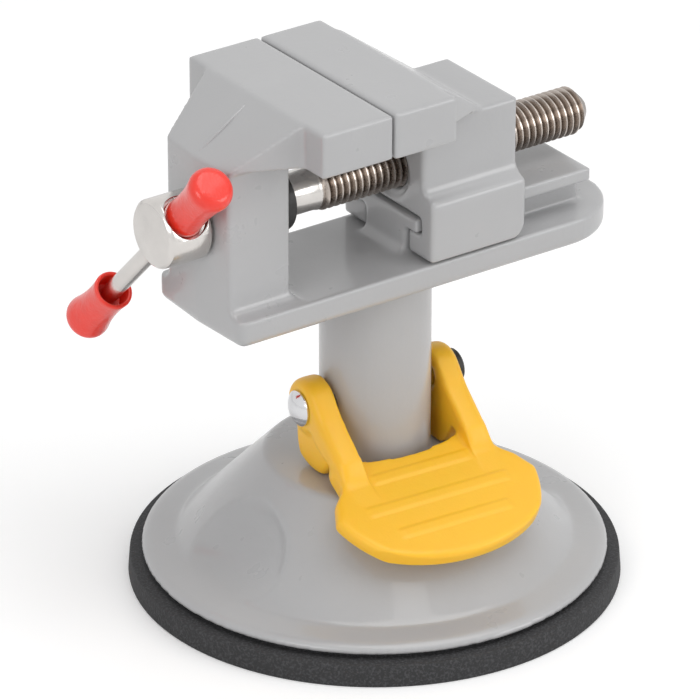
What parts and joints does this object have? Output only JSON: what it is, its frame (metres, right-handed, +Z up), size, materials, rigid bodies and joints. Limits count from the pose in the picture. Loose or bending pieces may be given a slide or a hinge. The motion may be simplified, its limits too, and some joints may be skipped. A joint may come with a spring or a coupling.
{
  "type": "suction base bench vise",
  "caption": "Small bench vise on a rubber suction base: screw-driven jaw on a T-rail, sliding handle bar, and a cam lever that sets the suction.",
  "frame": {"origin": "centre of the rubber disc's underside, on the column's axis", "axes": "+Z up along the column; +X along the lead screw, from the handle end to the rear; -Y towards the lever's pad"},
  "size_m": [0.0848, 0.08, 0.0896],
  "materials": {
    "grey_paint": "gloss paint over casting",
    "yellow_paint": "gloss paint",
    "nickel": "bright plated",
    "black_ring": "satin",
    "red_cap": "gloss",
    "cup_rubber": "matte",
    "plain_steel": "bare"
  },
  "bodies": {
    "base": {"base_casting": "grey_paint", "suction_cup": "cup_rubber", "vise_body": "grey_paint", "head_screw": "plain_steel", "head_washer": "plain_steel", "return_spring": "plain_steel"},
    "jaw": {"moving_jaw": "grey_paint"},
    "screw": {"lead_screw": "nickel", "thrust_collar": "black_ring"},
    "bar": {"tommy_bar": "nickel", "bar_cap_upper": "red_cap", "bar_cap_lower": "red_cap"},
    "post": {"pull_rod": "plain_steel", "cup_insert": "plain_steel", "pivot_pin": "nickel", "pin_cap": "black_ring"},
    "lever_body": {"lever": "yellow_paint"}
  },
  "joints": [
    {"name": "jaw_slide", "type": "slide", "parent": "base", "child": "jaw", "axis": [1, 0, 0], "range_m": [0, 0.025]},
    {"name": "screw_turn", "type": "hinge", "parent": "base", "child": "screw", "pos_m": [0, 0, 0.07115], "axis": [-1, 0, 0], "range_deg": [0, 7200]},
    {"name": "bar_slide", "type": "slide", "parent": "screw", "child": "bar", "axis": [0, -0.7022, 0.712], "range_m": [0, 0.0206]},
    {"name": "post_lift", "type": "slide", "parent": "base", "child": "post", "axis": [0, 0, -1], "range_m": [0, 0.0032], "deforming": ["return_spring", "suction_cup"]},
    {"name": "lever_swing", "type": "hinge", "parent": "post", "child": "lever_body", "pos_m": [0, 0, 0.0324], "axis": [-0.9976, 0.0698, 0], "range_deg": [0, 72]}
  ],
  "couplings": [
    {"joint": "screw_turn", "follows": "jaw_slide", "rad_per_m": 5026.5},
    {"joint": "lever_swing", "follows": "post_lift", "rad_per_m": 392.7}
  ]
}
